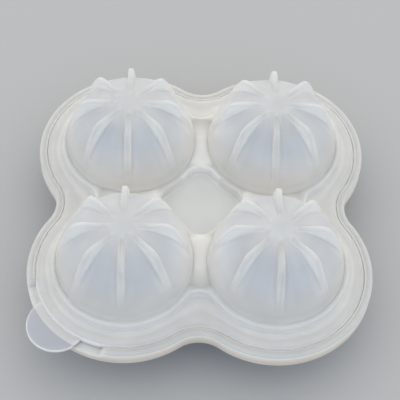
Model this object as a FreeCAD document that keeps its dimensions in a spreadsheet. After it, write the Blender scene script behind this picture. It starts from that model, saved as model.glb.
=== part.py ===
import FreeCAD, Part
import math
import os

import Sketcher
from FreeCAD import Placement, Rotation, Vector

# A two-piece silicone mould for four ice balls, closed, standing on the ribs of its lower cups.
# The middle of the foot plane is the origin, +Z is up and the lid's pull tab points to -X -Y.
# All lengths are millimetres, angles are degrees.

doc = FreeCAD.newDocument("ice_ball_mould")

DRIVING_SIZES = [
    ("ball_diameter", 45.0, "diameter of the frozen ball"),
    ("cup_wall", 2.5, "wall of a cup and of a dome"),
    ("ball_spacing", 10.0, "space between neighbouring balls"),
    ("pole_flat_depth", 0.3, "how far the flat on each pole lies under the full sphere"),
    ("parting_drop", 5.9, "from the balls' middle plane down to the parting plane"),
    ("tray_plate", 4.6, "thickness of the tray's plate"),
    ("lid_plate", 3.2, "thickness of the lid's plate"),
    ("rim_margin", 11.1, "from a cup's outside to the tray's outer edge"),
    ("rim_waist_radius", 12.3, "radius of the rim's hollow between two cups"),
    ("lip_wall", 2.5, "thickness of the lip that stands round the lid"),
    ("lip_gap", 0.5, "gap between the lip and the lid's edge"),
    ("lip_drop", 0.8, "how far the lip ends under the lid's top face"),
    ("lip_round", 0.9, "rounding of the lip's two top edges"),
    ("rim_round", 1.2, "rounding of the tray's lower edge"),
    ("lid_round", 2.3, "rounding of the lid's top edge"),
    ("notch_angle", 68.0, "angle of the gap in the lip, seen from its cup"),
    ("ring_root_wall", 1.9, "wall of the sealing ring where it leaves the tray"),
    ("ring_tip_wall", 1.5, "wall of the sealing ring at its top"),
    ("seal_clearance", 0.3, "space between the sealing ring and its socket"),
    ("socket_wall", 2.3, "wall of the lid's collar round the socket"),
    ("collar_height", 3.6, "height of the collar above the lid's top face"),
    ("collar_blend", 6.0, "radius of the hollow where two collars meet"),
    ("collar_round", 1.1, "rounding of the collar's top edge"),
    ("crease_round", 0.8, "rounding in the crease at the collar's foot"),
    ("rib_count", 8, "ribs on each cup and each dome"),
    ("rib_root_thickness", 2.9, "thickness of a rib at the balls' middle plane"),
    ("rib_draft", 1.1, "taper of each side of a rib"),
    ("rib_round", 0.6, "rounding of a rib's crest"),
    ("rib_flat_reach", 14.0, "how far a rib's level crest reaches from the pole"),
    ("rib_shoulder_radius", 5.0, "radius of the rib's outer shoulder"),
    ("rib_flank_radius", 60.0, "radius of the rib's outer edge below its shoulder"),
    ("rib_foot_height", 7.8, "height above the balls' middle plane where a rib ends"),
    ("rib_foot_sink", 0.15, "how far a rib's end lies inside the sphere"),
    ("tab_radius", 10.9, "radius of the pull tab"),
    ("tab_thickness", 1.5, "thickness of the pull tab"),
    ("tab_round", 0.4, "rounding of the pull tab's top edge"),
]

sizes = doc.addObject("Spreadsheet::Sheet", "sizes")
for row, (alias, value, meaning) in enumerate(DRIVING_SIZES, start=1):
    sizes.set(f"A{row}", meaning)
    sizes.set(f"B{row}", str(value))
    sizes.setAlias(f"B{row}", alias)
doc.recompute()

# Lengths that follow from the driving sizes, as expressions for the objects' properties
BALL_RADIUS = "(sizes.ball_diameter / 2)"
OUTER_RADIUS = f"({BALL_RADIUS} + sizes.cup_wall)"
HALF_PITCH = "((sizes.ball_diameter + sizes.ball_spacing) / 2)"
POLE_HEIGHT = f"({OUTER_RADIUS} - sizes.pole_flat_depth)"
PARTING_HEIGHT = f"({POLE_HEIGHT} - sizes.parting_drop)"
TRAY_UNDERSIDE = f"({PARTING_HEIGHT} - sizes.tray_plate)"
LID_TOP = f"({PARTING_HEIGHT} + sizes.lid_plate)"
COLLAR_TOP = f"({LID_TOP} + sizes.collar_height)"
LIP_HEIGHT = "(sizes.lid_plate - sizes.lip_drop)"
RIM_LOBE_RADIUS = f"({OUTER_RADIUS} + sizes.rim_margin)"
LIP_LOBE_RADIUS = f"({RIM_LOBE_RADIUS} - sizes.lip_wall)"
LIP_WAIST_RADIUS = "(sizes.rim_waist_radius + sizes.lip_wall)"
LID_LOBE_RADIUS = f"({LIP_LOBE_RADIUS} - sizes.lip_gap)"
LID_WAIST_RADIUS = f"({LIP_WAIST_RADIUS} + sizes.lip_gap)"
TAB_REACH = LID_LOBE_RADIUS  # the pull tab's centre lies on the lid's edge
RING_ROOT_RADIUS = f"({BALL_RADIUS} + sizes.ring_root_wall)"
RING_TIP_RADIUS = f"({BALL_RADIUS} + sizes.ring_tip_wall)"
SOCKET_ROOT_RADIUS = f"({RING_ROOT_RADIUS} + sizes.seal_clearance)"
SOCKET_TIP_RADIUS = f"({RING_TIP_RADIUS} + sizes.seal_clearance)"
COLLAR_RADIUS = f"({SOCKET_ROOT_RADIUS} + sizes.socket_wall)"

CUP_SIGNS = [(1, 1), (-1, 1), (-1, -1), (1, -1)]
TAB_ANGLE = 225

TOLERANCE = 1e-4


def value_of(expression):
    return float(sizes.evalExpression(expression))


def bind(thing, **expressions):
    for name, expression in expressions.items():
        thing.setExpression(name.replace("__", "."), expression)


def new_body(name):
    return doc.addObject("PartDesign::Body", name)


def origin_feature(body, role):
    return next(item for item in body.Origin.OriginFeatures if item.Role == role)


def new_sketch(body, name, plane="XY_Plane", height=None):
    sketch = body.newObject("Sketcher::SketchObject", name)
    sketch.AttachmentSupport = [(origin_feature(body, plane), "")]
    sketch.MapMode = "FlatFace"
    if height:
        sketch.setExpression("AttachmentOffset.Base.z", height)
    return sketch


def point_at(centre, radius, angle):
    return centre + Vector(radius * math.cos(angle), radius * math.sin(angle), 0)


def add_arc(sketch, centre, radius, start, end):
    circle = Part.Circle(centre, Vector(0, 0, 1), radius)
    return sketch.addGeometry(Part.ArcOfCircle(circle, start, end), False)


def hold(sketch, kind, *target, expression):
    """A dimension of the sketch whose value follows the sheet."""
    index = sketch.addConstraint(Sketcher.Constraint(kind, *target, value_of(expression)))
    sketch.setExpression(f"Constraints[{index}]", expression)


def add_lobes(sketch, lobe_radius, blend_radius, outward=True):
    """Four arcs about the ball axes, joined by four tangent arcs on the sketch's own axes.

    The outward outline runs round all four cups. The inward one is the space that they leave in
    the middle.
    """
    side = 1 if outward else -1
    half = value_of(HALF_PITCH)
    lobe, blend = value_of(lobe_radius), value_of(blend_radius)
    reach = half + side * math.sqrt((lobe + blend) ** 2 - half**2)
    lean = math.atan2(reach - half, -half)
    lobes, blends = [], []
    for quarter in range(4):
        turn = math.radians(90 * quarter)
        centre = point_at(Vector(), half * math.sqrt(2), turn + math.pi / 4)
        start, end = (math.pi / 2 - lean, lean) if outward else (lean, math.pi / 2 - lean)
        lobes.append(add_arc(sketch, centre, lobe, start + turn, end + turn))
        middle = point_at(Vector(), reach, turn + math.pi / 2)
        near, far = math.atan2(half - reach, half), math.atan2(half - reach, -half)
        start, end = (far, near) if outward else (near, far)
        blends.append(add_arc(sketch, middle, blend, start + turn, end + turn))
    lobe_leaving, lobe_entering = (2, 1) if outward else (1, 2)
    for quarter in range(4):
        following = lobes[(quarter + 1) % 4]
        sketch.addConstraint(
            Sketcher.Constraint("Tangent", lobes[quarter], lobe_leaving, blends[quarter], lobe_leaving)
        )
        sketch.addConstraint(
            Sketcher.Constraint("Tangent", blends[quarter], lobe_entering, following, lobe_entering)
        )
    for first, others, radius in ((lobes[0], lobes[1:], lobe_radius), (blends[0], blends[1:], blend_radius)):
        hold(sketch, "Radius", first, expression=radius)
        for other in others:
            sketch.addConstraint(Sketcher.Constraint("Equal", first, other))
    for index, (sign_x, sign_y) in zip(lobes, CUP_SIGNS):
        hold(sketch, "DistanceX", -1, 1, index, 3, expression=f"{sign_x} * {HALF_PITCH}")
        hold(sketch, "DistanceY", -1, 1, index, 3, expression=f"{sign_y} * {HALF_PITCH}")


def pad(body, sketch, name, length):
    feature = body.newObject("PartDesign::Pad", name)
    feature.Profile = sketch
    bind(feature, Length=length)
    doc.recompute()
    return feature


def edges_where(shape, test):
    return [f"Edge{number}" for number, edge in enumerate(shape.Edges, start=1) if test(edge)]


def round_edges(body, name, radius, test):
    base = body.Tip
    feature = body.newObject("PartDesign::Fillet", name)
    feature.Base = (base, edges_where(base.Shape, test))
    bind(feature, Radius=radius)
    doc.recompute()
    return feature


def is_level(edge, height):
    """The whole edge lies at this height."""
    box = edge.BoundBox
    return abs(box.ZMin - height) < TOLERANCE and abs(box.ZMax - height) < TOLERANCE


def flange_of_tray():
    """The tray's plate, and the lip round its rim with the gap for the pull tab."""
    body = new_body("tray_flange")
    outline = new_sketch(body, "tray_outline", height=TRAY_UNDERSIDE)
    add_lobes(outline, RIM_LOBE_RADIUS, "sizes.rim_waist_radius")
    pad(body, outline, "tray_plate", "sizes.tray_plate")
    underside = value_of(TRAY_UNDERSIDE)
    round_edges(body, "rim_rounding", "sizes.rim_round", lambda edge: is_level(edge, underside))

    lip_outline = new_sketch(body, "lip_outline", height=PARTING_HEIGHT)
    add_lobes(lip_outline, RIM_LOBE_RADIUS, "sizes.rim_waist_radius")
    add_lobes(lip_outline, LIP_LOBE_RADIUS, LIP_WAIST_RADIUS)
    pad(body, lip_outline, "lip", LIP_HEIGHT)
    lip_top = value_of(PARTING_HEIGHT) + value_of(LIP_HEIGHT)
    round_edges(body, "lip_rounding", "sizes.lip_round", lambda edge: is_level(edge, lip_top))

    gap_outline = new_sketch(body, "tab_gap_outline", height=PARTING_HEIGHT)
    corner = Vector(-value_of(HALF_PITCH), -value_of(HALF_PITCH), 0)
    # The corners of the gap's triangle lie well outside the rim
    reach = f"(1.5 * {RIM_LOBE_RADIUS})"
    ends = []
    for side in (-1, 1):
        angle = math.radians(TAB_ANGLE + side * value_of("sizes.notch_angle") / 2)
        ends.append(point_at(corner, value_of(reach), angle))
    for start, end in ((corner, ends[0]), (ends[0], ends[1]), (ends[1], corner)):
        gap_outline.addGeometry(Part.LineSegment(start, end), False)
    for line in range(3):
        gap_outline.addConstraint(Sketcher.Constraint("Coincident", line, 2, (line + 1) % 3, 1))
    hold(gap_outline, "DistanceX", -1, 1, 0, 1, expression=f"-{HALF_PITCH}")
    hold(gap_outline, "DistanceY", -1, 1, 0, 1, expression=f"-{HALF_PITCH}")
    for line, point, side in ((0, 2, -1), (1, 2, 1)):
        angle = f"({TAB_ANGLE} + {side} * sizes.notch_angle / 2) * 1 deg"
        hold(gap_outline, "DistanceX", 0, 1, line, point, expression=f"{reach} * cos({angle})")
        hold(gap_outline, "DistanceY", 0, 1, line, point, expression=f"{reach} * sin({angle})")
    gap = body.newObject("PartDesign::Pocket", "tab_gap")
    gap.Profile = gap_outline
    gap.Reversed = True
    bind(gap, Length="sizes.lid_plate")
    doc.recompute()
    return body


def is_collar_foot(edge):
    """The edge lies on a collar's round wall. A fillet runs on from it through the hollows."""
    middle = edge.valueAt((edge.FirstParameter + edge.LastParameter) / 2)
    half = value_of(HALF_PITCH)
    return math.hypot(abs(middle.x) - half, abs(middle.y) - half) < value_of(COLLAR_RADIUS) + TOLERANCE


def flange_of_lid():
    """The lid's plate with its pull tab, and the collars that stand round the domes."""
    body = new_body("lid_flange")
    outline = new_sketch(body, "lid_outline", height=PARTING_HEIGHT)
    add_lobes(outline, LID_LOBE_RADIUS, LID_WAIST_RADIUS)
    pad(body, outline, "lid_plate", "sizes.lid_plate")
    top = value_of(LID_TOP)
    round_edges(body, "lid_rounding", "sizes.lid_round", lambda edge: is_level(edge, top))

    collar_outline = new_sketch(body, "collar_outline", height=PARTING_HEIGHT)
    add_lobes(collar_outline, COLLAR_RADIUS, "sizes.collar_blend")
    add_lobes(collar_outline, COLLAR_RADIUS, "sizes.collar_blend", outward=False)
    pad(body, collar_outline, "collars", "sizes.lid_plate + sizes.collar_height")
    collar_top = value_of(COLLAR_TOP)
    round_edges(body, "collar_rounding", "sizes.collar_round", lambda edge: is_level(edge, collar_top))

    def is_crease(edge):
        return is_level(edge, top) and is_collar_foot(edge)

    round_edges(body, "crease_rounding", "sizes.crease_round", is_crease)

    tab_outline = new_sketch(body, "tab_outline", height=PARTING_HEIGHT)
    half = value_of(HALF_PITCH)
    centre = point_at(Vector(-half, -half, 0), value_of(TAB_REACH), math.radians(TAB_ANGLE))
    tab_outline.addGeometry(Part.Circle(centre, Vector(0, 0, 1), value_of("sizes.tab_radius")), False)
    hold(tab_outline, "Radius", 0, expression="sizes.tab_radius")
    for kind, ratio in (("DistanceX", "cos"), ("DistanceY", "sin")):
        along = f"{TAB_REACH} * {ratio}({TAB_ANGLE} deg)"
        hold(tab_outline, kind, -1, 1, 0, 3, expression=f"-{HALF_PITCH} + {along}")
    pad(body, tab_outline, "pull_tab", "sizes.tab_thickness")
    tab_top = value_of(PARTING_HEIGHT) + value_of("sizes.tab_thickness")

    def is_tab_edge(edge):
        return is_level(edge, tab_top) and edge.BoundBox.XMin < centre.x

    round_edges(body, "tab_rounding", "sizes.tab_round", is_tab_edge)
    return body


def dome_body():
    """A sphere's cap above the middle plane, with a flat on its pole."""
    body = new_body("dome")
    profile = new_sketch(body, "dome_profile", "XZ_Plane")
    radius, height = value_of(OUTER_RADIUS), value_of(POLE_HEIGHT)
    flat = math.sqrt(radius**2 - height**2)
    add_arc(profile, Vector(), radius, 0, math.atan2(height, flat))
    profile.addGeometry(Part.LineSegment(Vector(flat, height, 0), Vector(0, height, 0)), False)
    profile.addGeometry(Part.LineSegment(Vector(0, height, 0), Vector(0, 0, 0)), False)
    profile.addGeometry(Part.LineSegment(Vector(0, 0, 0), Vector(radius, 0, 0)), False)
    for first, end, second, start in ((0, 2, 1, 1), (1, 2, 2, 1), (2, 2, 3, 1), (3, 2, 0, 1)):
        profile.addConstraint(Sketcher.Constraint("Coincident", first, end, second, start))
    profile.addConstraint(Sketcher.Constraint("Coincident", 0, 3, -1, 1))
    profile.addConstraint(Sketcher.Constraint("Coincident", 3, 1, -1, 1))
    profile.addConstraint(Sketcher.Constraint("Horizontal", 1))
    profile.addConstraint(Sketcher.Constraint("Vertical", 2))
    profile.addConstraint(Sketcher.Constraint("Horizontal", 3))
    hold(profile, "Radius", 0, expression=OUTER_RADIUS)
    hold(profile, "DistanceY", -1, 1, 1, 2, expression=POLE_HEIGHT)
    turned = body.newObject("PartDesign::Revolution", "dome_turned")
    turned.Profile = profile
    turned.ReferenceAxis = (profile, ["V_Axis"])
    turned.Angle = 360
    doc.recompute()
    return body


def ribs_body():
    """Ribs spread round the pole, each with a level crest, a round shoulder and a curved flank."""
    body = new_body("ribs")
    profile = new_sketch(body, "rib_profile", "XZ_Plane")
    crest = value_of(POLE_HEIGHT)
    reach, shoulder = value_of("sizes.rib_flat_reach"), value_of("sizes.rib_shoulder_radius")
    flank, foot = value_of("sizes.rib_flank_radius"), value_of("sizes.rib_foot_height")
    foot_reach = f"(sqrt({OUTER_RADIUS} ^ 2 - sizes.rib_foot_height ^ 2) - sizes.rib_foot_sink)"
    shoulder_centre = Vector(reach, crest - shoulder, 0)
    foot_point = Vector(value_of(foot_reach), foot, 0)
    # The flank's centre lies behind the shoulder's, on the line through the point where they meet
    span = foot_point - shoulder_centre
    reversed_span = 2 * shoulder * flank - shoulder**2 - span.Length**2
    lean = math.acos(reversed_span / (2 * (flank - shoulder) * span.Length))
    meeting = math.atan2(span.y, span.x) + lean
    flank_centre = point_at(shoulder_centre, shoulder - flank, meeting)
    ending = math.atan2(foot_point.y - flank_centre.y, foot_point.x - flank_centre.x)
    corners = [Vector(0, foot, 0), Vector(0, crest, 0), Vector(reach, crest, 0)]
    profile.addGeometry(Part.LineSegment(corners[0], corners[1]), False)
    profile.addGeometry(Part.LineSegment(corners[1], corners[2]), False)
    add_arc(profile, shoulder_centre, shoulder, meeting, math.pi / 2)
    add_arc(profile, flank_centre, flank, ending, meeting)
    profile.addGeometry(Part.LineSegment(foot_point, corners[0]), False)
    profile.addConstraint(Sketcher.Constraint("Coincident", 0, 2, 1, 1))
    profile.addConstraint(Sketcher.Constraint("Tangent", 1, 2, 2, 2))
    profile.addConstraint(Sketcher.Constraint("Tangent", 2, 1, 3, 2))
    profile.addConstraint(Sketcher.Constraint("Coincident", 3, 1, 4, 1))
    profile.addConstraint(Sketcher.Constraint("Coincident", 4, 2, 0, 1))
    profile.addConstraint(Sketcher.Constraint("Vertical", 0))
    profile.addConstraint(Sketcher.Constraint("Horizontal", 1))
    profile.addConstraint(Sketcher.Constraint("Horizontal", 4))
    profile.addConstraint(Sketcher.Constraint("PointOnObject", 0, 1, -2))
    hold(profile, "DistanceY", -1, 1, 0, 1, expression="sizes.rib_foot_height")
    hold(profile, "DistanceY", -1, 1, 0, 2, expression=POLE_HEIGHT)
    hold(profile, "DistanceX", 1, 1, 1, 2, expression="sizes.rib_flat_reach")
    hold(profile, "Radius", 2, expression="sizes.rib_shoulder_radius")
    hold(profile, "Radius", 3, expression="sizes.rib_flank_radius")
    hold(profile, "DistanceX", -1, 1, 3, 1, expression=foot_reach)

    blade = body.newObject("PartDesign::Pad", "rib")
    blade.Profile = profile
    blade.Midplane = True
    bind(blade, Length="sizes.rib_root_thickness")
    doc.recompute()

    sides = []
    for number, face in enumerate(blade.Shape.Faces, start=1):
        if abs(face.normalAt(0, 0).y) > 1 - TOLERANCE:
            sides.append(f"Face{number}")
    draft = body.newObject("PartDesign::Draft", "rib_taper")
    draft.Base = (blade, sides)
    draft.NeutralPlane = (origin_feature(body, "XY_Plane"), [""])
    doc.recompute()
    bind(draft, Angle="sizes.rib_draft")
    doc.recompute()

    def is_crest_edge(edge):
        box = edge.BoundBox
        beside_middle = box.YMin * box.YMax > 0
        return beside_middle and box.ZMax > foot + TOLERANCE and box.XMax > TOLERANCE

    round_edges(body, "crest_rounding", "sizes.rib_round", is_crest_edge)
    spread = body.newObject("PartDesign::PolarPattern", "rib_spread")
    spread.TransformMode = "Whole shape"
    spread.Axis = (origin_feature(body, "Z_Axis"), [""])
    spread.Angle = 360
    bind(spread, Occurrences="sizes.rib_count")
    body.Tip = spread
    doc.recompute()
    return body


def fuse(name, shapes):
    fused = doc.addObject("Part::MultiFuse", name)
    fused.Shapes = shapes
    fused.Refine = True
    return fused


def cut(name, base, tool):
    result = doc.addObject("Part::Cut", name)
    result.Base, result.Tool = base, tool
    result.Refine = True
    return result


def in_all_corners(thing):
    """The thing and its images over the two upright middle planes."""
    across = doc.addObject("Part::Mirroring", thing.Name + "_across")
    across.Source = thing
    across.Normal = Vector(1, 0, 0)
    pair = doc.addObject("Part::Compound", thing.Name + "_pair")
    pair.Links = [thing, across]
    behind = doc.addObject("Part::Mirroring", thing.Name + "_behind")
    behind.Source = pair
    behind.Normal = Vector(0, 1, 0)
    return [thing, across, behind]


def at_each_ball(kind, name, height, **lengths):
    """One like shape on each ball axis, with its base or its centre at this height."""
    shapes = []
    for number, (sign_x, sign_y) in enumerate(CUP_SIGNS, start=1):
        shape = doc.addObject(kind, f"{name}_{number}")
        bind(shape, Placement__Base__x=f"{sign_x} * {HALF_PITCH}")
        bind(shape, Placement__Base__y=f"{sign_y} * {HALF_PITCH}", Placement__Base__z=height, **lengths)
        shapes.append(shape)
    return shapes


def ribbed_cup(name, dome, ribs, turn):
    """A dome with its ribs on the first ball axis, turned to point up or down."""
    cup = fuse(name, [dome, ribs])
    cup.Placement = Placement(Vector(), Rotation(Vector(1, 0, 0), turn))
    bind(cup, Placement__Base__x=HALF_PITCH, Placement__Base__y=HALF_PITCH, Placement__Base__z=POLE_HEIGHT)
    return cup


def make_tray(dome, ribs, balls):
    rings = at_each_ball(
        "Part::Cone", "ring", PARTING_HEIGHT,
        Radius1=RING_ROOT_RADIUS, Radius2=RING_TIP_RADIUS, Height="sizes.parting_drop",
    )
    cups = fuse("tray_cups", in_all_corners(ribbed_cup("tray_cup", dome, ribs, 180)))
    # The cups end halfway up the plate, so that only the rings stand above it
    above = doc.addObject("Part::Box", "above_plate")
    width = f"(2 * ({HALF_PITCH} + 2 * {OUTER_RADIUS}))"
    bind(above, Length=width, Width=width, Height=f"2 * {OUTER_RADIUS}")
    bind(above, Placement__Base__x=f"-{width} / 2", Placement__Base__y=f"-{width} / 2")
    bind(above, Placement__Base__z=f"{PARTING_HEIGHT} - sizes.tray_plate / 2")
    body = fuse("tray_body", [flange_of_tray(), cut("tray_cups_ended", cups, above), *rings])
    return cut("lower_tray", body, balls)


def make_lid(dome, ribs, balls):
    sockets = at_each_ball(
        "Part::Cone", "socket", PARTING_HEIGHT,
        Radius1=SOCKET_ROOT_RADIUS, Radius2=SOCKET_TIP_RADIUS,
        Height="sizes.parting_drop + sizes.seal_clearance",
    )
    domes = in_all_corners(ribbed_cup("lid_dome", dome, ribs, 0))
    body = fuse("lid_body", [flange_of_lid(), *domes])
    return cut("upper_lid", body, fuse("lid_hollows", [balls, *sockets]))


dome, ribs = dome_body(), ribs_body()
balls = fuse("balls", at_each_ball("Part::Sphere", "ball", POLE_HEIGHT, Radius=BALL_RADIUS))
pieces = [make_tray(dome, ribs, balls), make_lid(dome, ribs, balls)]
doc.recompute()

for thing in doc.Objects:
    if "Invalid" in thing.State or "Error" in thing.State:
        raise RuntimeError(f"{thing.Label} was not made: {thing.getStatusString()}")
os.makedirs("parts", exist_ok=True)
for piece in pieces:
    if piece.Shape.isNull() or not piece.Shape.isValid() or len(piece.Shape.Solids) != 1:
        raise RuntimeError(f"{piece.Label} is not one sound solid")
    solid = piece.Shape.Solids[0]
    solid.exportStep(f"parts/{piece.Label}.step")
    print(piece.Label, f"{solid.Volume / 1000:.1f} cm3", solid.optimalBoundingBox())
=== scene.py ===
# A closed two-piece silicone mould for four ice balls, as it looks from above on a pale table.
# The shapes are worked out in millimetres and put into the meshes in metres.
import math

import bpy
import numpy as np
from mathutils import Matrix


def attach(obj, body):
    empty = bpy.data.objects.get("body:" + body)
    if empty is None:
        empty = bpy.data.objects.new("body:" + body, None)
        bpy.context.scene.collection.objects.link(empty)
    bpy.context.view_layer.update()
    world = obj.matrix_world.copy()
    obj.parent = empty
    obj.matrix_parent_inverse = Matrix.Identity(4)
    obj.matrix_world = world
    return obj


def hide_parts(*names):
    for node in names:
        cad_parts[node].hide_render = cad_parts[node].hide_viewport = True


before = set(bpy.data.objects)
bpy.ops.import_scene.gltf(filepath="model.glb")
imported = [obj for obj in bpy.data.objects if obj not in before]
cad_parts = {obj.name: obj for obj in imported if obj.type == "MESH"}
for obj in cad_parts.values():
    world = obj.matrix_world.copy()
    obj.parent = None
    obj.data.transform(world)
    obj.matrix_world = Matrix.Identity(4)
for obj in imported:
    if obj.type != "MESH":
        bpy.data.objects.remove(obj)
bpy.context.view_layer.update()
print("frame loaded")

cameraView = {
    "elevation": 55.738,  # degrees above the table
    "yaw": 1.39,          # degrees from straight ahead
    "roll": 2.17,
    "distance": 0.454263,  # from the point it looks at
    "target": (0.000105, 0.017106, 0.0),
    "focalPixels": 1119.725,  # for a picture 400 pixels wide
}


def makeCamera(view):
    # Forward, right and up are turned by yaw, then tipped down by elevation, then rolled
    lean, turn, roll = (math.radians(view[key]) for key in ("elevation", "yaw", "roll"))
    forward = np.array([math.sin(turn) * math.cos(lean), math.cos(turn) * math.cos(lean), -math.sin(lean)])
    level = np.array([math.cos(turn), -math.sin(turn), 0.0])
    upright = np.cross(level, forward)
    right = math.cos(roll) * level + math.sin(roll) * upright
    up = -math.sin(roll) * level + math.cos(roll) * upright
    place = np.array(view["target"]) - view["distance"] * forward
    lens = bpy.data.cameras.new("camera")
    lens.sensor_width = 36.0
    lens.lens = view["focalPixels"] / 400 * lens.sensor_width
    lens.clip_start, lens.clip_end = 0.01, 20.0
    camera = bpy.data.objects.new("camera", lens)
    axes = np.eye(4)
    axes[:3, 0], axes[:3, 1], axes[:3, 2], axes[:3, 3] = right, up, -forward, place
    camera.matrix_world = Matrix(axes.tolist())
    bpy.context.collection.objects.link(camera)
    bpy.context.scene.camera = camera


makeCamera(cameraView)
print("camera made")

# sizes that both pieces share, as the CAD has them
mould = {
    "halfPitch": 27.5,      # from a middle plane to a ball's axis
    "middle": 24.7,         # height of the balls' middle plane
    "outerRadius": 25.0,    # cups and domes, outside
    "ballRadius": 22.5,     # and inside
    "poleFlat": 24.7,       # the flat on a pole, from the middle plane
    "parting": 18.8,        # where the two pieces meet
    "rimLobe": 36.1,        # the tray's outline round a cup
    "rimWaist": 12.3,       # and its hollow between two cups
}
halfPitch = mould["halfPitch"]

ribs = {
    "halfThickness": 1.45,  # at the balls' middle plane
    "taper": 0.0192,        # lost on each side, for each millimetre up
    "crestRound": 0.6,
    "lean": 0.12,           # each side's foot stands this far out from its top
    "footBlend": 0.4,       # the hollow that joins a rib's side to the dome
    "start": (6, 13),       # degrees from the pole over which the ribs rise out of the dome
    "flatReach": 14.0,      # the level crest ends here
    "shoulderRadius": 5.0,
    "flankRadius": 60.0,
    "footRing": (24.0, 7.0),  # reach and height where the flank meets the dome
    "poleSpread": 17.0,     # degrees that half a rib takes up close to the pole
}

ribCount = 8
columnsPerRib = 24  # nine from a rib's crest down each side, and the rest between two ribs
columnCount = columnsPerRib * ribCount
# the columns in the middles of the spaces between ribs, and what lies between some of them: the
# webs to the neighbours across and along, the mould's middle, and the open side
spaceMiddles = columnsPerRib * np.arange(ribCount) + columnsPerRib // 2
webAcross = np.arange(spaceMiddles[3], spaceMiddles[4] + 1)
mouldMiddle = np.arange(spaceMiddles[4], spaceMiddles[5] + 1)
webAlong = np.arange(spaceMiddles[5], spaceMiddles[6] + 1)
openSide = np.concatenate([np.arange(spaceMiddles[6], columnCount), np.arange(spaceMiddles[3] + 1)])


def softMinimum(first, second, softness):
    # The smaller of the two, with a parabola of this softness where they cross
    closeness = np.maximum(softness - np.abs(first - second), 0.0)
    return np.minimum(first, second) - closeness**2 / (4 * softness)


def smoothStep(low, high, values):
    # 0 below low, 1 above high, and 3t^2 - 2t^3 between them
    share = np.clip((values - low) / (high - low), 0.0, 1.0)
    return share * share * (3 - 2 * share)


def linear(colour):
    # An sRGB hex value as linear red, green, blue and full alpha
    values = [int(colour[place:place + 2], 16) / 255 for place in (1, 3, 5)]
    return [v / 12.92 if v <= 0.04045 else ((v + 0.055) / 1.055) ** 2.4 for v in values] + [1.0]


def circleReach(centre, radius, directions):
    # Distance from the origin to the far side of a circle, along each direction: the root of a
    # quadratic in that distance
    along = directions @ np.array(centre)
    return along + np.sqrt(np.maximum(radius**2 - np.dot(centre, centre) + along**2, 0.0))


def ribReach(tilt):
    # Distance from the ball's centre to a rib's outer edge: the level crest, then the arc of the
    # shoulder, then the flatter arc of the flank, each where the ray at this tilt meets it
    crest, reach = mould["poleFlat"], ribs["flatReach"]
    small, large = ribs["shoulderRadius"], ribs["flankRadius"]
    shoulder = np.array([reach, crest - small])
    span = np.array(ribs["footRing"]) - shoulder
    length = np.hypot(*span)
    lean = math.acos((2 * small * large - small**2 - length**2) / (2 * (large - small) * length))
    meeting = math.atan2(span[1], span[0]) + lean
    outward = np.array([math.cos(meeting), math.sin(meeting)])
    flank = shoulder + (small - large) * outward
    joint = shoulder + small * outward
    directions = np.stack([np.sin(tilt), np.cos(tilt)], axis=1)
    level = crest / np.cos(tilt)
    bend = circleReach(shoulder, small, directions)
    slope = circleReach(flank, large, directions)
    first, second = math.atan2(reach, crest), math.atan2(joint[0], joint[1])
    return np.where(tilt < first, level, np.where(tilt < second, bend, slope))


def ribColumns(webAngle):
    # Each half rib takes nine columns from its crest to the dome, and three more lead to the
    # middle of the space between two ribs. Beside a neighbouring ball that middle column goes
    # to the end of the web between them, at webAngle on both sides of the neighbour.
    across = np.concatenate([np.arange(9), [8, 8, 8, 8, 8, 8, 8], np.arange(8, 0, -1)])
    sweep = np.concatenate([np.zeros(9), [0.25, 0.5, 0.75, 1, 0.75, 0.5, 0.25], np.zeros(8)])
    side = np.where(np.arange(columnsPerRib) < 13, 1.0, -1.0)
    webEnds = [180 - webAngle, 180 + webAngle, 270 - webAngle, 270 + webAngle]
    middles = np.array([22.5, 67.5, 112.5] + webEnds + [337.5])
    sector = np.repeat(np.arange(ribCount), columnsPerRib)
    side = np.tile(side, ribCount)
    ribAngle = 45.0 * (sector + (side < 0))
    gap = np.abs(middles[sector] - ribAngle)
    return np.tile(across, ribCount), np.tile(sweep, ribCount), side, np.radians(ribAngle), np.radians(gap)


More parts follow.
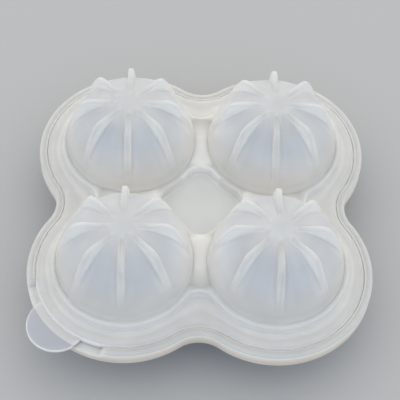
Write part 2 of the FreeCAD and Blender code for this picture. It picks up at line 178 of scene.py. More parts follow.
def ribbedDome(tilt, columns):
    # Rows by tilt from the pole, columns as above. The dome is a sphere, cut flat at the pole,
    # and a rib's section is added to it along the rib's own radius: a level crest, an arc, a
    # leaning side and a hollow arc, all in proportion where the rib is low.
    across, sweep, side, ribAngle, gap = columns
    base = softMinimum(mould["outerRadius"], mould["poleFlat"] / np.cos(tilt), 0.1)
    excess = ribReach(tilt) - base
    start, full = (math.radians(angle) for angle in ribs["start"])
    height = 0.5 * (excess + np.sqrt(excess**2 + 0.1**2)) * smoothStep(start, full, tilt)
    low = base * np.sin(tilt)
    halfThick = (ribs["halfThickness"] - ribs["taper"] * base * np.cos(tilt))[:, None]
    crestRound, blend = ribs["crestRound"], ribs["footBlend"]
    arc = np.radians([30.0, 60.0, 90.0])
    place = np.concatenate([
        np.zeros_like(halfThick),
        halfThick - crestRound,
        halfThick - crestRound + crestRound * np.sin(arc),
        halfThick + ribs["lean"],
        halfThick + ribs["lean"] + blend * (1 - np.cos(arc)),
    ], axis=1)
    crest = np.minimum(crestRound, 0.45 * height)[:, None]
    foot = np.minimum(blend, 0.45 * height)[:, None]
    rise = np.concatenate([
        height[:, None],
        height[:, None],
        height[:, None] - crest * (1 - np.cos(arc)),
        foot,
        foot * (1 - np.sin(arc)),
    ], axis=1)
    # Close to the pole the ribs would overlap, so their width there is a share of the circle
    widest = place[:, -1:]
    spread = math.sin(math.radians(ribs["poleSpread"]))
    ratio = 1 / ((np.maximum(low[:, None], 1e-3) / widest) ** 4 + spread**-4) ** 0.25
    turn = np.arcsin(ratio * place[:, across] / widest)
    last = np.arcsin(ratio)
    turn = turn + sweep * (gap - last)
    azimuth = ribAngle + side * turn
    lift = rise[:, across]
    outX = np.sin(tilt)[:, None] * (base[:, None] * np.cos(azimuth) + lift * np.cos(ribAngle))
    outY = np.sin(tilt)[:, None] * (base[:, None] * np.sin(azimuth) + lift * np.sin(ribAngle))
    up = np.minimum(np.cos(tilt)[:, None] * (base[:, None] + lift), mould["poleFlat"])
    return np.stack([outX, outY, up], axis=2), azimuth, height


tones = {
    # The milky body's colour with light and shade painted into it, one tone for each part of the
    # one silicone: a little blue and darker where only a thin wall scatters the light, whiter
    # where more of it lies behind the surface or light reaches in from both sides. The first
    # three change with the tilt from a dome's pole, in degrees.
    # painted shade: bluer and duller on the thin upper slopes; painted light: whiter and warmer low down, by
    # the collar
    "wall": {
        0: "#CED0D1", 30: "#D0D2D6", 45: "#CFD2D7", 60: "#D5D5D6", 75: "#DEDCD8", 80: "#DCD9D5", 86: "#E6E4E1",
    },
    # painted shade: the ribs' tops duller than the rest of the silicone, most near the pole
    "crest": {12: "#C4C5C5", 20: "#C5C6C6", 35: "#CCCCCC", 50: "#D9D9D7", 62: "#DEDDDB", 75: "#DFDEDB"},
    # painted light: the ribs' sides whiter, as light shining through them
    "side": {12: "#DBDBDB", 25: "#EAEAE9", 45: "#F3F2EF", 62: "#EBE9E6", 75: "#E2E0DC"},
    "collar": "#DBDBD9",
    # painted light on the webs between two collars, and painted shade at their outer ends
    "web": "#F4F4F2",
    "webEnd": "#C6C6C4",
    # painted light in the hollows: the creases, the lid's lower edge and the gap round it
    "crease": "#EFEFEE",
    "cleft": "#FBFBFA",
    "gap": "#DDDCDA",
    # painted light on the plate next to the collar and in the mould's middle, painted shade on the plate's
    # outer part, a tone also given to the faces underneath
    "plateIn": "#E3E3E2",
    "plateOut": "#D4D4D3",
    "middle": "#E0E2E2",
    "tabRoot": "#D8D9DB",
    # painted shade: the thin tab past the rim a darker, bluish grey
    "sheet": "#B5B7BE",
    # painted shade on the lip, duller; painted light on the rim's outer side, whiter and warm; painted shade
    # on its rounded foot, warm and duller
    "lip": "#C8C8C7",
    "rimSide": "#FDF6EC",
    "rimFoot": "#E8DACC",
}

toneShifts = {
    # Shares by which a tone is whiter or duller at some places, because of the light that comes
    # through from behind and from the neighbouring balls
    "wallBesideRib": 0.14,     # whiter in the corner with a rib's front side
    "wallFacingAcross": 0.18,  # whiter low down, facing the ball to the left or right
    "wallFacingAlong": 0.07,   # or the one in front or behind
    "wallFoot": 0.12,          # duller at the dome's foot, on the mould's left and right
    "flankAtBack": 0.1,        # duller on a rib's side that faces the back
    "crestAtFront": 0.09,      # duller on top of the ribs that point to the front
    "crestAtSide": 0.03,       # whiter on those that point to the left and right
    "collarAtSide": 0.09,      # duller on the mould's left and right
    "footAtSide": 0.3,         # as are the hollow at a dome's foot,
    "edgeAtSide": 0.08,        # the lid's rounded edge
    "cleftAtSide": 0.16,       # and the edge's lower end
    "gapAtSide": 0.22,         # whiter there, in the gap
    "webAlong": 0.08,          # whiter between a front ball and the one behind it
    "middleCorner": 0.3,       # whiter in the back corner of the mould's middle
    "middleCrease": 0.12,      # and in the crease there
}


def tone(name):
    # A plain tone as linear red, green and blue
    return np.array(linear(tones[name])[:3])


def tonesAt(name, tilt):
    # The tones that the table gives by tilt in degrees, and between them in proportion
    table = tones[name]
    colours = np.array([linear(colour)[:3] for colour in table.values()])
    return np.stack([np.interp(np.degrees(tilt), list(table), colours[:, part]) for part in range(3)], axis=-1)


def domeTones(tilt, height, columns, forward):
    # The wall's tone, and where a rib stands up its top's and its sides', with light and shade
    # painted in. Painted light from behind comes through a rib, so its side that faces the front
    # is the whiter one, with the wall beside it. Forward is -1 where the columns' own Y leads to
    # the front, 0 for no difference.
    across, sweep, side, ribAngle, gap = columns
    shift = toneShifts
    stands = smoothStep(0.05, 0.5, height)[:, None, None]
    facing = -forward * side * np.cos(ribAngle)
    beside = shift["wallBesideRib"] * np.interp(sweep, [0, 0.25, 0.5], [1, 0.643, 0]) * (0.5 + 0.5 * facing)
    bare = tonesAt("wall", tilt)[:, None, :] * (1 + stands * beside[None, :, None])
    # low on the dome the neighbouring ones light the wall that faces them
    azimuth = ribAngle + side * sweep * gap
    near = shift["wallFacingAcross"] * np.clip((-np.cos(azimuth) - 0.7) / 0.3, 0, 1)
    near = near + shift["wallFacingAlong"] * np.clip((-np.sin(azimuth) - 0.7) / 0.3, 0, 1)
    low = smoothStep(math.radians(35), math.radians(60), tilt)[:, None, None]
    bare = bare * (1 + low * near[None, :, None])
    # and its foot has painted shade, duller to the left and right
    foot = smoothStep(math.radians(70), math.radians(84), tilt)[:, None, None]
    toSide = abs(forward) * np.maximum(np.cos(azimuth), 0)[None, :, None] ** 2
    bare = bare * (1 - shift["wallFoot"] * foot * toSide)
    # of a half rib's nine columns the first four are its top and the last four its side
    sideShare = np.array([0, 0, 0, 0, 0.5, 1, 1, 1, 1])[across][None, :, None]
    flank = tonesAt("side", tilt)[:, None, :] * (1 - shift["flankAtBack"] * (1 - facing))[None, :, None]
    # painted shade on the tops of the ribs that point to the front, painted light on those that point to the
    # left and right
    toFront = np.maximum(-forward * np.sin(ribAngle), 0)[None, :, None]
    ahead = shift["crestAtFront"] * (1 - 0.6 * low) * toFront**2
    beyond = shift["crestAtSide"] * abs(forward) * np.cos(ribAngle)[None, :, None] ** 2
    crest = tonesAt("crest", tilt)[:, None, :] * (1 - ahead + beyond)
    return bare + stands * (across < 8)[None, :, None] * (crest + sideShare * (flank - crest) - bare)


def lobedOutline(lobe, blend, rayAngle):
    # Where rays from a ball's axis leave the outline: the circle about that axis, or near a
    # neighbour the hollow whose centre lies on the middle plane, tangent to both circles.
    # Gives the points and the directions that point out of the outline.
    away = math.sqrt((lobe + blend) ** 2 - halfPitch**2)
    rays = np.stack([np.cos(rayAngle), np.sin(rayAngle)], axis=1)
    points, normals = rays * lobe, rays.copy()
    for centre in ((-halfPitch, away), (-halfPitch, -away), (away, -halfPitch), (-away, -halfPitch)):
        middle = np.array(centre)
        along = rays @ middle
        root = along**2 - middle @ middle + blend**2
        # the ray lies between the hollow's centre and the neighbouring ball
        isAcross = centre[0] == -halfPitch
        towards = np.array([-1.0, 0.0]) if isAcross else np.array([0.0, -1.0])
        nearer = rays @ towards > middle @ towards / np.hypot(*middle) - 1e-12
        sameSide = rays[:, 1] * centre[1] > 0 if isAcross else rays[:, 0] * centre[0] > 0
        inside = nearer & sameSide & (root > 0) & (along > 0)
        points[inside] = rays[inside] * (along[inside] - np.sqrt(root[inside]))[:, None]
        normals[inside] = (middle - points[inside]) / blend
    return points, normals


def ringAt(points, height):
    # Points on the plane, all lifted to one height or each to its own
    return np.concatenate([points, np.broadcast_to(np.atleast_1d(height), (len(points),))[:, None]], axis=1)


def polarRing(radius, height, azimuth):
    # A ring about the ball's axis, at the given turns round it
    return ringAt(np.stack([radius * np.cos(azimuth), radius * np.sin(azimuth)], axis=1), height)


def quarterArc(count):
    # Angles of a quarter round, without its start
    return np.radians(90.0) * np.arange(1, count + 1) / count


class Shell:
    # Grids of quads for one quarter of a piece, gathered here, then mirrored into each corner
    def __init__(self):
        self.points, self.faces, self.tints, self.count = [], [], [], 0

    def addGrid(self, rings, tint, closed=False, flip=False):
        # Neighbouring rings are joined by quads, and a closed ring's end to its start
        grid = np.stack(rings)
        rows, columns = grid.shape[:2]
        index = np.arange(rows * columns).reshape(rows, columns) + self.count
        if closed:
            index = np.concatenate([index, index[:, :1]], axis=1)
        corners = [index[:-1, :-1], index[1:, :-1], index[1:, 1:], index[:-1, 1:]]
        quads = np.stack(corners, axis=-1).reshape(-1, 4)
        self.points.append(grid.reshape(-1, 3))
        self.faces.append(quads[:, ::-1] if flip else quads)
        self.tints.append(np.broadcast_to(tint, (rows, columns, 3)).reshape(-1, 3))
        self.count += rows * columns
        return self

    def placed(self, signX, signY):
        # This quarter in its own corner, still facing outwards after being mirrored
        points = np.concatenate(self.points)
        across, along = signX * (halfPitch + points[:, 0]), signY * (halfPitch + points[:, 1])
        world = np.stack([across, along, points[:, 2]], axis=1)
        faces = np.concatenate(self.faces)
        return world, faces if signX * signY > 0 else faces[:, ::-1], np.concatenate(self.tints)


def makePiece(name, quarters):
    # Points in the same place become one, and quads that have lost a corner become triangles
    points, faces, tints, start = [], [], [], 0
    for world, quads, tint in quarters:
        points.append(world)
        faces.append(quads + start)
        tints.append(tint)
        start += len(world)
    points, faces, tints = np.concatenate(points), np.concatenate(faces), np.concatenate(tints)
    unused, first, twin = np.unique(np.round(points, 3) + 0.0, axis=0, return_index=True, return_inverse=True)
    faces = twin.reshape(-1)[faces]
    double = faces == np.roll(faces, -1, axis=1)
    quads = faces[double.sum(axis=1) == 0]
    corners = faces[double.sum(axis=1) == 1]
    triangles = corners[~double[double.sum(axis=1) == 1]].reshape(-1, 3)
    mesh = bpy.data.meshes.new(name)
    mesh.from_pydata((points[first] / 1000).tolist(), [], quads.tolist() + triangles.tolist())
    mesh.polygons.foreach_set("use_smooth", np.ones(len(mesh.polygons), dtype=bool))
    # each point's tone, the silicone's colour with light and shade painted in
    body = mesh.attributes.new("toneWithPaintedLight", "FLOAT_COLOR", "POINT")
    body.data.foreach_set("color", np.insert(tints[first], 3, 1.0, axis=1).astype(np.float32).ravel())
    mesh.validate()
    mesh.set_sharp_from_angle(angle=math.radians(50))
    piece = bpy.data.objects.new(name, mesh)
    bpy.context.collection.objects.link(piece)
    print(name, len(mesh.vertices), "points,", len(quads) * 2 + len(triangles), "triangles")
    return piece


tab = {
    "reach": 33.1,      # from the ball's axis to the tab's centre
    "radius": 10.9,
    "thickness": 1.5,
    "edgeRound": 0.4,
}


def outlineColumns():
    # Ray angles round one quarter of the outline, 120 steps from one middle plane to the other,
    # closer together at the two ends of the tab
    lobe, waist = mould["rimLobe"], mould["rimWaist"]
    away = math.sqrt((lobe + waist) ** 2 - halfPitch**2)
    corner = math.degrees(math.atan2(away - waist, -halfPitch))
    tangent = math.degrees(math.atan2(away, -halfPitch))
    neck = math.degrees(math.asin(tab["radius"] / tab["reach"]))
    middle = 45 + neck * np.sin(np.linspace(-np.pi / 2, np.pi / 2, 37))
    upper = np.linspace(45 + neck, tangent, 29)[1:]
    last = np.linspace(tangent, corner, 15)[1:]
    return np.radians(np.concatenate([(90 - last)[::-1], (90 - upper)[::-1], middle, upper, last]))


rimAngles = outlineColumns()
rimPoints, rimNormals = lobedOutline(mould["rimLobe"], mould["rimWaist"], rimAngles)
rimPoints[0, 1] = rimPoints[-1, 0] = -halfPitch


def insideRim(distance):
    # The rim's outline, moved inwards
    points = rimPoints - rimNormals * np.reshape(distance, (-1, 1))
    points[0, 1] = points[-1, 0] = -halfPitch
    return points


def backToStart(points):
    # The rest of a closed ring: from the outline's end down one middle plane to the mould's
    # centre and out along the other
    steps = (columnCount - len(points) + 1) // 2
    down = np.linspace(points[-1, 1], -halfPitch, steps + 1)[1:]
    out = np.linspace(-halfPitch, points[0, 0], steps + 1)[1:-1]
    first = np.stack([np.full_like(down, -halfPitch), down], axis=1)
    second = np.stack([out, np.full_like(out, -halfPitch)], axis=1)
    return np.concatenate([points, first, second])


domeTilts = np.radians(np.concatenate([
    [0, 2.5, 5.0, 7.0, 8.2, 9.2, 10.4, 12.2], np.arange(14.5, 26.5, 2.5),
    np.arange(27.0, 46.0, 1.25), np.arange(47.5, 84.0, 2.6),
]))

lid = {
    "top": 22.0,
    "edgeInset": 3.0,       # the lid's edge, inside the rim's outline
    "edgeRound": 2.3,
    "collarTop": 25.6,
    "collarRadius": 27.0,
    "collarWaist": 6.0,     # the hollow where two collars run together
    "collarRound": 1.1,
    "collarLean": 0.03,     # the foot of its wall stands this far out from its top
    "creaseRound": 0.8,
    "domeBlend": 0.5,       # the hollow between a dome and its collar
    "lowerEdge": 0.25,      # the small slope under the lid's edge
    "socketFoot": 24.7,
    "socketHead": 24.3,
    "socketTop": 25.0,
    "socketEdge": 0.3,      # the small slopes at its mouth
    "ledgeEdge": 0.2,       # and at its top and the ball's hollow
}


def collarEdge():
    # The collars' outline where their rounding starts, with the end of the web between two
    lobe, waist = lid["collarRadius"] - lid["collarRound"], lid["collarWaist"] + lid["collarRound"]
    away = math.sqrt((lobe + waist) ** 2 - halfPitch**2)
    return lobe, waist, math.degrees(math.atan2(away - waist, halfPitch))


def makeLidQuarter(signX, signY):
    # The domes, the collars, the plate with its edge, the mould's middle and the underside. The
    # tab is at the front left corner only.
    shell = Shell()
    withTab = signX < 0 and signY < 0
    lobe, waist, webAngle = collarEdge()
    columns = ribColumns(webAngle)
    dome, azimuth, height = ribbedDome(domeTilts, columns)
    dome = dome + np.array([0, 0, mould["middle"]])
    # the dome's last row leads through a hollow to the collar's level top
    top, blend = lid["collarTop"], lid["domeBlend"]
    wallHeight = top + blend - mould["middle"]
    foot = math.sqrt(mould["outerRadius"] ** 2 - wallHeight**2)
    azimuth = ribbedDome(np.array([np.arccos(wallHeight / mould["outerRadius"])]), columns)[1][0]
    rings = list(dome)
    rings.append(polarRing(foot, top + blend, azimuth))
    for angle in quarterArc(3):
        radius = foot + blend * (1 - math.cos(angle))
        rings.append(polarRing(radius, top + blend * (1 - math.sin(angle)), azimuth))
    edge, normals = lobedOutline(lobe, waist, azimuth)
    for web, axis in ((webAcross, 0), (webAlong, 1)):
        rays = np.stack([np.cos(azimuth[web]), np.sin(azimuth[web])], axis=1)
        edge[web] = rays * (-halfPitch / rays[:, axis])[:, None]
        edge[web, axis] = -halfPitch
    rings.append(rings[-1] + 0.5 * (ringAt(edge, top) - rings[-1]))
    rings.append(ringAt(edge, top))
    # to the left and right less light comes through from behind
    shift = toneShifts
    toSide = np.maximum(np.cos(azimuth), 0)[:, None] ** 2
    collarTone = tone("collar") * (1 - shift["collarAtSide"] * toSide)
    tint = np.tile(collarTone, (len(rings), 1, 1))
    tint[: len(dome)] = domeTones(domeTilts, height, columns, signY)
    # painted light in the hollow at the dome's foot, less of it to the left and right
    tint[len(dome): len(dome) + 3] = tone("crease") * (1 - shift["footAtSide"] * toSide)
    sweep = columns[1]
    # painted light on the webs, more between a front ball and the one behind it, and painted shade towards
    # their outer ends
    for web, outerHalf, whiter in (
        (webAcross, webAcross[: columnsPerRib // 2], 0),
        (webAlong, webAlong[-(columnsPerRib // 2):], shift["webAlong"]),
    ):
        tint[len(dome) + 3:, web] = tone("web") * (1 + whiter)
        tint[len(dome) + 3:, outerHalf] += sweep[outerHalf, None] * (tone("webEnd") - tone("web"))
    shell.addGrid(rings, tint, closed=True)

    # the collar's rounded edge, wall and crease, from its own outline outwards
    def collarSide(points, outward):
        side = []
        size, crease, low = lid["collarRound"], lid["creaseRound"], lid["top"]
        for angle in quarterArc(4):
            side.append(ringAt(points + outward * size * math.sin(angle), top - size * (1 - math.cos(angle))))
        wall = size + lid["collarLean"]
        side.append(ringAt(points + outward * wall, low + crease))
        for angle in quarterArc(3):
            away = wall + crease * (1 - math.cos(angle))
            side.append(ringAt(points + outward * away, low + crease * (1 - math.sin(angle))))
        return side

    rings = [ringAt(edge[openSide], top)] + collarSide(edge[openSide], normals[openSide])
    for ring in rings:
        ring[0, 1] = ring[-1, 0] = -halfPitch
    inset, size, low = lid["edgeInset"], lid["edgeRound"], lid["top"]
    start = rings[-1]
    finish = ringAt(insideRim(inset + size), low)
    collarRow = len(rings)
    rings += [start + share * (finish - start) for share in (0.1, 0.35, 0.65, 0.9, 1.0)]
    # the plate's edge: rounded, down to the tab's top, then the tab's or its own side
    roundRow = len(rings)
    for angle in np.radians(np.linspace(0, 75, 8))[1:]:
        points = insideRim(inset + size * (1 - math.sin(angle)))
        rings.append(ringAt(points, low - size * (1 - math.cos(angle))))
    parting = mould["parting"]
    tabTop = parting + tab["thickness"]
    offAxis = rimAngles - np.radians(45)
    under = np.maximum(tab["radius"] ** 2 - (tab["reach"] * np.sin(offAxis)) ** 2, 0.0)
    reach = tab["reach"] * np.cos(offAxis) + np.sqrt(under)
    isTab = (under > 1e-9) & withTab
    extent = np.where(isTab, np.maximum(reach - (mould["rimLobe"] - inset), 0.0), 0.0)
    edgeRound = tab["edgeRound"]
    # the tab's top, with two rows close together above the tray's rim, and elsewhere the same
    # rows on the lid's own side
    sheetWidth = np.maximum(extent - edgeRound, 0.0)
    overRim = np.minimum(sheetWidth, inset)
    pastRim = np.minimum(sheetWidth, inset + 0.3)
    tabRow = len(rings)
    for share, outwards in (
        (0.1, 0.1 * overRim), (0.3, 0.5 * overRim), (0.5, overRim), (0.7, pastRim),
        (0.9, 0.5 * (pastRim + sheetWidth)), (1.0, sheetWidth),
    ):
        rings.append(ringAt(insideRim(inset - outwards), np.where(isTab, tabTop, tabTop - 0.3 * share)))
    for angle in quarterArc(3):
        outwards = np.maximum(extent - edgeRound * (1 - math.sin(angle)), 0.0)
        drop = edgeRound * (1 - math.cos(angle))
        height = np.where(isTab, tabTop - drop, tabTop - 0.3 - 0.4 * math.sin(angle))
        rings.append(ringAt(insideRim(inset - outwards), height))
    lower = lid["lowerEdge"]
    rings.append(ringAt(insideRim(inset - extent), parting + lower))
    outline = ringAt(insideRim(inset - extent + lower), parting)
    rings.append(outline)
    # painted light and shade: the collar's and crease's tones, the plate whiter by the crease and duller
    # further out, its rounded edge duller to the left and right, and the edge's lower end whiter, less so to
    # the left and right
    tint = np.tile(tone("plateOut"), (len(rings), len(rimAngles), 1))
    sideways = np.cos(rimAngles)[:, None] ** 2
    tint[: collarRow - 4] = collarTone[openSide]
    tint[collarRow - 4: collarRow] = tone("crease") * (1 - shift["collarAtSide"] * toSide[openSide])
    tint[collarRow: collarRow + 2] = tone("plateIn")
    tint[roundRow: tabRow - 3] *= 1 - shift["edgeAtSide"] * sideways
    tint[tabRow - 3:] = tone("cleft") * (1 - shift["cleftAtSide"] * sideways)
    # the tab lies on the tray at first, and past the tray's rim it is a thin sheet with painted shade, a
    # darker bluish grey
    pastEdge = isTab & (sheetWidth > inset)
    tint[tabRow:, isTab & ~pastEdge] = tone("tabRoot")
    tint[tabRow: tabRow + 3, pastEdge] = tone("tabRoot")
    tint[tabRow + 3: tabRow + 6, pastEdge] = tone("sheet")
    tint[-1, isTab] = tone("sheet")
    shell.addGrid(rings, tint)

    # the level space in the middle of the mould
    rings = [ringAt(edge[mouldMiddle], top)] + collarSide(edge[mouldMiddle], normals[mouldMiddle])
    for ring in rings:
        ring[0, 0] = ring[-1, 1] = -halfPitch
    start, middleRow = rings[-1], len(rings)
    centre = np.array([-halfPitch, -halfPitch, low])
    rings += [start + share * (centre - start) for share in (0.06, 0.25, 0.5, 0.75, 1.0)]
    # painted light in the mould's middle, with the collar's and crease's tones round it
    tint = np.tile(tone("middle"), (len(rings), len(mouldMiddle), 1))
    tint[: middleRow - 4] = tone("collar")
    tint[middleRow - 4: middleRow] = tone("crease")
    if signY > 0:
        # its back corner faces the front, and light comes through it from behind
        corner = 1 - smoothStep(0, 9, np.arange(len(mouldMiddle)))[:, None]
        tint[: middleRow - 4] *= 1 + shift["middleCorner"] * corner
        tint[middleRow - 4: middleRow] *= 1 + shift["middleCrease"] * corner
    shell.addGrid(rings, tint)

    # underneath: the level face, first its strip along the lid's edge and the tab
    plain = backToStart(insideRim(inset + 0.4))
    level = ringAt(plain, parting)
    tint = np.tile(tone("plateOut"), (2, len(rimAngles), 1))
    # painted shade on the tab's underside, painted light along the edge where the gap is
    tint[0] = np.where(isTab[:, None], tone("sheet"), tone("gap"))
    shell.addGrid([outline, level[: len(rimAngles)]], tint)
    # then the rest of it, the socket for the tray's ring, its ledge and the ball's hollow
    rays = np.arctan2(plain[:, 1], plain[:, 0])
    foot, head, ledge = lid["socketFoot"], lid["socketHead"], lid["socketTop"]
    mouth, inner, ball = lid["socketEdge"], lid["ledgeEdge"], mould["ballRadius"]
    circle = polarRing(foot + mouth, parting, rays)
    rings = [level, 0.5 * (level + circle), circle]
    rings.append(polarRing(foot, parting + mouth, rays))
    rings.append(polarRing(0.5 * (foot + head), 0.5 * (parting + ledge), rays))
    rings.append(polarRing(head, ledge - inner, rays))
    rings.append(polarRing(head - inner, ledge, rays))
    rings.append(polarRing(ball + inner, ledge, rays))
    for tilt in np.radians(np.concatenate([[88.8], np.arange(84, 0, -6.0), [0.0]])):
        rings.append(polarRing(ball * math.sin(tilt), mould["middle"] + ball * math.cos(tilt), rays))
    shell.addGrid(rings, tone("plateOut"), closed=True)
    return shell


# right or left, and back or front
quarterSigns = ((1, 1), (-1, 1), (1, -1), (-1, -1))
lidPiece = makePiece("lidShell", [makeLidQuarter(*signs).placed(*signs) for signs in quarterSigns])

tray = {
    "underside": 14.2,
    "lowerRound": 1.2,
    "lipTop": 21.2,
    "lipWall": 2.5,
    "lipRound": 0.9,
    "gapFloor": 20.85,      # the gap round the lid is filled in with a slope down to here, because
    "gapFill": 0.48,        # light comes through its walls, and as far in as this from the lip
    "cupBlend": 1.0,        # the hollow between a cup and the plate's underside
    "ringFoot": 24.4,       # outside of the sealing ring
    "ringHead": 24.0,
    "ringEdge": 0.3,        # the small slopes at its foot and head
    "notchHalfAngle": 34.0,  # the lip's gap for the tab
    "notchTaper": 2.0,      # degrees over which the lip dies away
}


def makeTrayQuarter(signX, signY):
    # The cups with the plate's underside, the rim with its lip, and the top with the sealing
    # rings. The lip's gap is at the front left corner only.
    shell = Shell()
    withNotch = signX < 0 and signY < 0
    columns = ribColumns(22.5)
    under, blend = tray["underside"], tray["cupBlend"]
    deepest = mould["middle"] - under + blend
    lastTilt = math.acos(deepest / mould["outerRadius"])
    tilts = np.append(domeTilts[domeTilts < lastTilt - 0.01], lastTilt)
    cup, azimuth, height = ribbedDome(tilts, columns)
    cup = cup * np.array([1, 1, -1]) + np.array([0, 0, mould["middle"]])
    # the last row, ribs and all, leads through a hollow to the plate's underside
    foot = cup[-1, :, :2]
    outward = foot / np.hypot(foot[:, 0], foot[:, 1])[:, None]
    rings = list(cup)
    for angle in quarterArc(3):
        step = blend * (1 - math.cos(angle) + 0.5 * math.sin(angle))  # wider than high
        rings.append(ringAt(foot + outward * step, under - blend * (1 - math.sin(angle))))
    # the outline starts at the middle plane, where the cups' columns are at the open side's start
    outline = backToStart(insideRim(tray["lowerRound"]))
    flat = ringAt(np.roll(outline, openSide[0], axis=0), under)
    for share in (0.08, 0.5, 0.92, 1.0):
        rings.append(rings[-1] + share * (flat - rings[-1]) if share < 1 else flat)
    tint = np.tile(tone("plateOut"), (len(rings), columnCount, 1))
    tint[: len(cup)] = domeTones(tilts, height, columns, 0)
    shell.addGrid(rings, tint, closed=True, flip=True)

    # the rim: rounded below, up the side, over the lip and down to the plate inside it
    lip, wall, size = tray["lipTop"], tray["lipWall"], tray["lipRound"]
    parting, lower = mould["parting"], tray["lowerRound"]
    profile = [(lower, under)]
    profile += [(lower * (1 - math.sin(a)), under + lower * (1 - math.cos(a))) for a in quarterArc(4)]
    profile.append((0.0, under + 2.4))
    sideRow = len(profile)
    profile += [(0.0, lip - size - 0.3), (0.0, lip - size)]
    roundRow = len(profile)
    profile += [(size * (1 - math.cos(a)), lip - size * (1 - math.sin(a))) for a in quarterArc(4)]
    inner = np.radians([0, 20, 38])
    profile += [(wall - size * (1 - math.sin(a)), lip - size * (1 - math.cos(a))) for a in inner]
    floor, fill = tray["gapFloor"], tray["gapFill"]
    profile += [(wall + 0.5 * fill, floor + 0.1), (wall + fill, floor), (wall + fill, parting + 0.1)]
    profile += [(wall + fill + 0.1, parting)]
    away = np.abs(np.degrees(rimAngles) - 45)
    keep = np.ones_like(away)
    if withNotch:
        notch, taper = tray["notchHalfAngle"], tray["notchTaper"]
        keep = 0.02 + 0.98 * smoothStep(notch - taper / 2, notch + taper / 2, away)
    rings = []
    for distance, height in profile:
        level = height if height <= parting else parting + (height - parting) * keep
        rings.append(ringAt(insideRim(distance), level))
    # painted shade on the lip, duller, and on the rim's rounded foot, warm; painted light on its outer side,
    # whiter and warm, and in the gap, most to the left and right
    tint = np.tile(tone("lip"), (len(rings), len(rimAngles), 1))
    tint[:sideRow] = tone("rimFoot")
    tint[sideRow:roundRow] = tone("rimSide")
    tint[roundRow:, keep < 0.97] = tone("plateOut")
    tint[-4:] = tone("gap") * (1 + toneShifts["gapAtSide"] * np.cos(rimAngles)[:, None] ** 2)
    shell.addGrid(rings, tint, flip=True)

    # on top: the plate, the sealing ring and the ball's hollow
    inside = backToStart(insideRim(wall + fill + 0.1))
    rays = np.arctan2(inside[:, 1], inside[:, 0])
    low, head, ball, middle = tray["ringFoot"], tray["ringHead"], mould["ballRadius"], mould["middle"]
    slope = tray["ringEdge"]
    plate, circle = ringAt(inside, parting), polarRing(low + slope, parting, rays)
    rings = [plate, plate + 0.1 * (circle - plate), 0.5 * (plate + circle), circle]
    rings.append(polarRing(low, parting + slope, rays))
    rings.append(polarRing(0.5 * (low + head), 0.5 * (parting + middle), rays))
    rings.append(polarRing(head, middle - slope, rays))
    rings.append(polarRing(head - slope, middle, rays))
    rings.append(polarRing(ball + 0.2, middle, rays))
    for tilt in np.radians(np.concatenate([[89.2], np.arange(84, 0, -6.0), [0.0]])):
        rings.append(polarRing(ball * math.sin(tilt), middle - ball * math.cos(tilt), rays))
    tint = np.tile(tone("plateOut"), (len(rings), len(rays), 1))
    # painted light at the plate's edge, in the gap
    tint[0] = tone("gap")
    shell.addGrid(rings, tint, closed=True, flip=True)
    return shell


trayPiece = makePiece("trayShell", [makeTrayQuarter(*signs).placed(*signs) for signs in quarterSigns])

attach(lidPiece, "lid")
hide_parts("upper_lid")
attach(trayPiece, "tray")
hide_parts("lower_tray")
print("lid and tray in place")


def addNode(tree, kind, settings=None, links=None):
    # A node with its settings, by name of socket or property, and what its sockets are fed from
    node = tree.nodes.new(kind)
    for name, value in (settings or {}).items():
        if name in node.inputs:
            node.inputs[name].default_value = value
        else:
            setattr(node, name, value)
    for name, output in (links or {}).items():
        tree.links.new(output, node.inputs[name])
    return node


def newMaterial(name):
    # An empty material and its tree of nodes
    material = bpy.data.materials.new(name)
    material.use_nodes = True
    material.node_tree.nodes.clear()
    return material, material.node_tree


silicone = {
    "cloudSize": 0.011,      # metres between the soft clouds in the milky body
    "cloudStrength": 0.03,   # share by which they are lighter and darker
    "grainSize": 0.0006,     # the satin of the mould's blasted steel, coarser than life to show
    "grainStrength": 0.04,
    "roughness": 0.42,
    "depth": 0.005,          # metres that light goes into the body
}


def milkySilicone(settings):
    # Clear platinum-cured silicone rubber, moulded in blasted steel: a milky body that light
    # goes a few millimetres into, with a soft satin shine
    material, tree = newMaterial("milkySilicone")
    place = addNode(tree, "ShaderNodeTexCoord").outputs["Object"]
    cloud = addNode(
        tree, "ShaderNodeTexNoise", {"Scale": 1 / settings["cloudSize"], "Detail": 2.0, "Roughness": 0.5},
        {"Vector": place},
    ).outputs["Fac"]
    # the colour is each point's tone, with light and shade painted in
    colour = addNode(tree, "ShaderNodeAttribute", {"attribute_name": "toneWithPaintedLight"}).outputs["Color"]
    strength = settings["cloudStrength"]
    shade = addNode(
        tree, "ShaderNodeMapRange",
        {"From Min": 0.3, "From Max": 0.7, "To Min": 1 - strength, "To Max": 1 + strength},
        {"Value": cloud},
    ).outputs["Result"]
    # the painted tones, light and shade included, with the clouds on them
    body = addNode(tree, "ShaderNodeHueSaturation", {}, {"Color": colour, "Value": shade}).outputs["Color"]
    grain = addNode(
        tree, "ShaderNodeTexNoise", {"Scale": 1 / settings["grainSize"], "Detail": 1.0}, {"Vector": place},
    ).outputs["Fac"]
    bump = addNode(
        tree, "ShaderNodeBump", {"Strength": settings["grainStrength"], "Distance": 0.0002}, {"Height": grain},
    ).outputs["Normal"]
    surface = addNode(
        tree, "ShaderNodeBsdfPrincipled",
        {
            "Roughness": settings["roughness"],
            "IOR": 1.41,
            "Subsurface Weight": 1.0,
            "Subsurface Scale": settings["depth"],
            "Subsurface Radius": (0.9, 0.95, 1.0),
        },
        {"Base Color": body, "Normal": bump},
    )
    addNode(tree, "ShaderNodeOutputMaterial", {}, {"Surface": surface.outputs["BSDF"]})
    return material


siliconeMaterial = milkySilicone(silicone)
for piece in (lidPiece, trayPiece):
    piece.data.materials.append(siliconeMaterial)
print("silicone made")

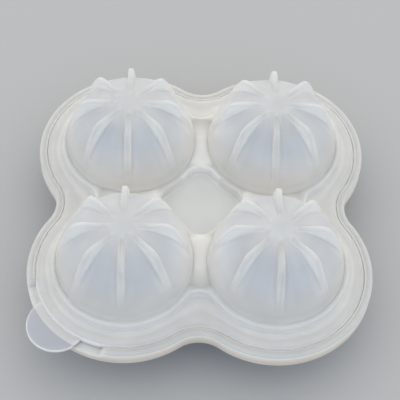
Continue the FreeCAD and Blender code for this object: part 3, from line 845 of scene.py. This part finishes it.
studio = {
    "floor": "#B9BABC",
    "floorReach": 3.0,       # metres from its middle to its edges
    "roomFront": "#BAC9DC",  # soft light from all round, dimmer and cooler from the front
    "roomMiddle": "#E6E5E1",
    "roomBack": "#FFFCF6",
    "roomStrength": 1.3,
    "window": "#FFFCF0",     # and a large soft light behind the mould
    "windowPower": 0.32,     # watts
    "windowSize": 1.0,       # metres
    "windowPlace": (0.05, 0.95, 0.95),
}


def makeFloor():
    # A plain pale table, matt as painted board is
    mesh = bpy.data.meshes.new("floor")
    size = studio["floorReach"]
    points = [(-size, -size, 0), (size, -size, 0), (size, size, 0), (-size, size, 0)]
    mesh.from_pydata(points, [], [(0, 1, 2, 3)])
    floor = bpy.data.objects.new("floor", mesh)
    bpy.context.collection.objects.link(floor)
    material, tree = newMaterial("paleTable")
    surface = addNode(
        tree, "ShaderNodeBsdfPrincipled", {"Base Color": linear(studio["floor"]), "Roughness": 0.8},
    )
    addNode(tree, "ShaderNodeOutputMaterial", {}, {"Surface": surface.outputs["BSDF"]})
    mesh.materials.append(material)


def makeSky():
    # Soft light that changes evenly from the front of the room to its back, and a plain white
    # behind everything
    world = bpy.data.worlds.new("studio")
    bpy.context.scene.world = world
    world.use_nodes = True
    tree = world.node_tree
    tree.nodes.clear()
    path = addNode(tree, "ShaderNodeLightPath")
    seen = addNode(
        tree, "ShaderNodeMath", {"operation": "MAXIMUM"},
        {0: path.outputs["Is Camera Ray"], 1: path.outputs["Is Glossy Ray"]},
    )
    seen = addNode(
        tree, "ShaderNodeMath", {"operation": "MAXIMUM"},
        {0: seen.outputs[0], 1: path.outputs["Is Transmission Ray"]},
    )
    direction = addNode(tree, "ShaderNodeTexCoord").outputs["Generated"]
    depth = addNode(tree, "ShaderNodeSeparateXYZ", {}, {"Vector": direction}).outputs["Y"]
    share = addNode(tree, "ShaderNodeMapRange", {"From Min": -1.0, "From Max": 1.0}, {"Value": depth})
    room = addNode(tree, "ShaderNodeValToRGB", {}, {"Fac": share.outputs["Result"]})
    stops = room.color_ramp.elements
    stops.new(0.5)
    for stop, part in zip(stops, ("roomFront", "roomMiddle", "roomBack")):
        stop.color = linear(studio[part])
    light = addNode(
        tree, "ShaderNodeBackground", {"Strength": studio["roomStrength"]}, {"Color": room.outputs["Color"]},
    )
    white = addNode(tree, "ShaderNodeBackground", {"Color": linear("#FFFFFF"), "Strength": 1.0})
    mixed = addNode(
        tree, "ShaderNodeMixShader", {}, {0: seen.outputs[0], 1: light.outputs[0], 2: white.outputs[0]},
    )
    addNode(tree, "ShaderNodeOutputWorld", {}, {"Surface": mixed.outputs[0]})


def addLamp(name, place, target, size, power, colour):
    # A square soft box that faces its target
    lamp = bpy.data.lights.new(name, "AREA")
    lamp.size, lamp.energy = size, power
    lamp.color = linear(colour)[:3]
    thing = bpy.data.objects.new(name, lamp)
    away = np.array(place) - np.array(target)
    thing.location = place
    thing.rotation_euler = (
        math.atan2(math.hypot(away[0], away[1]), away[2]), 0.0, math.atan2(away[1], away[0]) + math.pi / 2,
    )
    bpy.context.collection.objects.link(thing)


makeFloor()
makeSky()
addLamp(
    "window", studio["windowPlace"], (0, 0, 0.02),
    studio["windowSize"], studio["windowPower"], studio["window"],
)

bpy.context.scene.view_settings.view_transform = "Standard"
print("table and light made")
